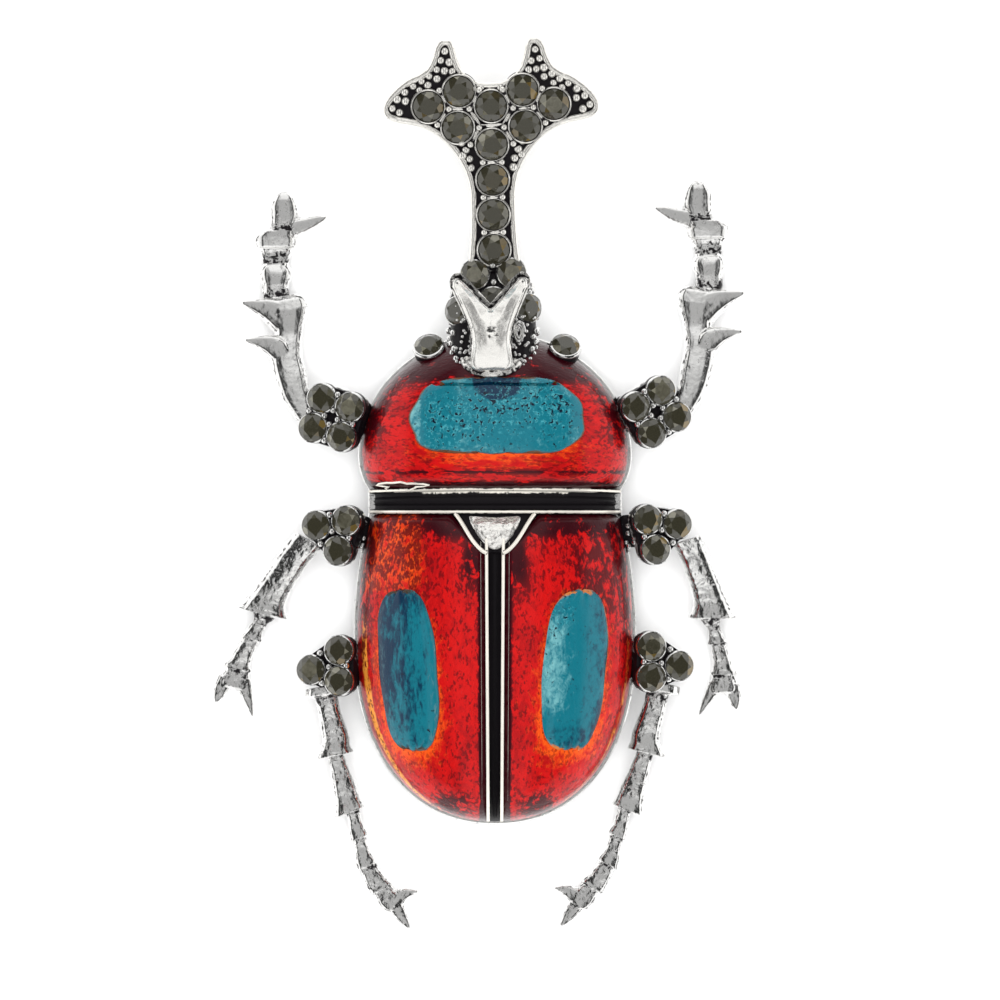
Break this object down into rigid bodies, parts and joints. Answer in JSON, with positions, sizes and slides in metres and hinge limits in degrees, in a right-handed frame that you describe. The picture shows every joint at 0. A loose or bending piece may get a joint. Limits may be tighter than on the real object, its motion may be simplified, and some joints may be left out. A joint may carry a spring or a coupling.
{
  "type": "rhinoceros beetle brooch",
  "caption": "Insect brooch: cast metal beetle with a forked long horn, a short crest horn, jointed legs, enamelled wing cases and neck shield, cut glass stones and a pin in its hollow back.",
  "frame": {"origin": "on the surface it lies on, under the middle of its box; the claws' soles and the pin stand over z = 0", "axes": "+Y from the tail to the long horn, +Z away from the wearer, +X to the beetle's right hand seen from above"},
  "size_m": [0.0423, 0.0702, 0.0127],
  "materials": {
    "antique_silver": "polished plated alloy, blackened in its recesses",
    "red_enamel": "glossy translucent red to orange enamel over foil, dark along its edges",
    "teal_enamel": "glossy teal enamel with dark pits",
    "smoky_glass": "faceted smoky grey glass with a foiled back",
    "pin_steel": "plain plated steel"
  },
  "bodies": {
    "root": {"body_casting": "antique_silver", "neck_shield_enamel": "red_enamel", "left_wing_enamel": "red_enamel", "right_wing_enamel": "red_enamel", "neck_shield_patch": "teal_enamel", "left_wing_patch": "teal_enamel", "right_wing_patch": "teal_enamel", "pin_back": "pin_steel", "left_eye_stone": "smoky_glass", "right_eye_stone": "smoky_glass", "horn_stone_1": "smoky_glass", "horn_stone_2": "smoky_glass", "horn_stone_3": "smoky_glass", "horn_stone_4": "smoky_glass", "horn_stone_5": "smoky_glass", "horn_stone_6": "smoky_glass", "horn_stone_7": "smoky_glass", "horn_stone_8": "smoky_glass", "horn_stone_9": "smoky_glass", "horn_stone_10": "smoky_glass", "horn_stone_11": "smoky_glass", "head_stone_1": "smoky_glass", "head_stone_2": "smoky_glass", "head_stone_3": "smoky_glass", "head_stone_4": "smoky_glass", "head_stone_5": "smoky_glass", "front_left_stone_1": "smoky_glass", "front_left_stone_2": "smoky_glass", "front_left_stone_3": "smoky_glass", "front_left_stone_4": "smoky_glass", "front_right_stone_1": "smoky_glass", "front_right_stone_2": "smoky_glass", "front_right_stone_3": "smoky_glass", "front_right_stone_4": "smoky_glass", "middle_left_stone_1": "smoky_glass", "middle_left_stone_2": "smoky_glass", "middle_left_stone_3": "smoky_glass", "middle_right_stone_1": "smoky_glass", "middle_right_stone_2": "smoky_glass", "middle_right_stone_3": "smoky_glass", "hind_left_stone_1": "smoky_glass", "hind_left_stone_2": "smoky_glass", "hind_left_stone_3": "smoky_glass", "hind_right_stone_1": "smoky_glass", "hind_right_stone_2": "smoky_glass", "hind_right_stone_3": "smoky_glass"}
  },
  "joints": []
}
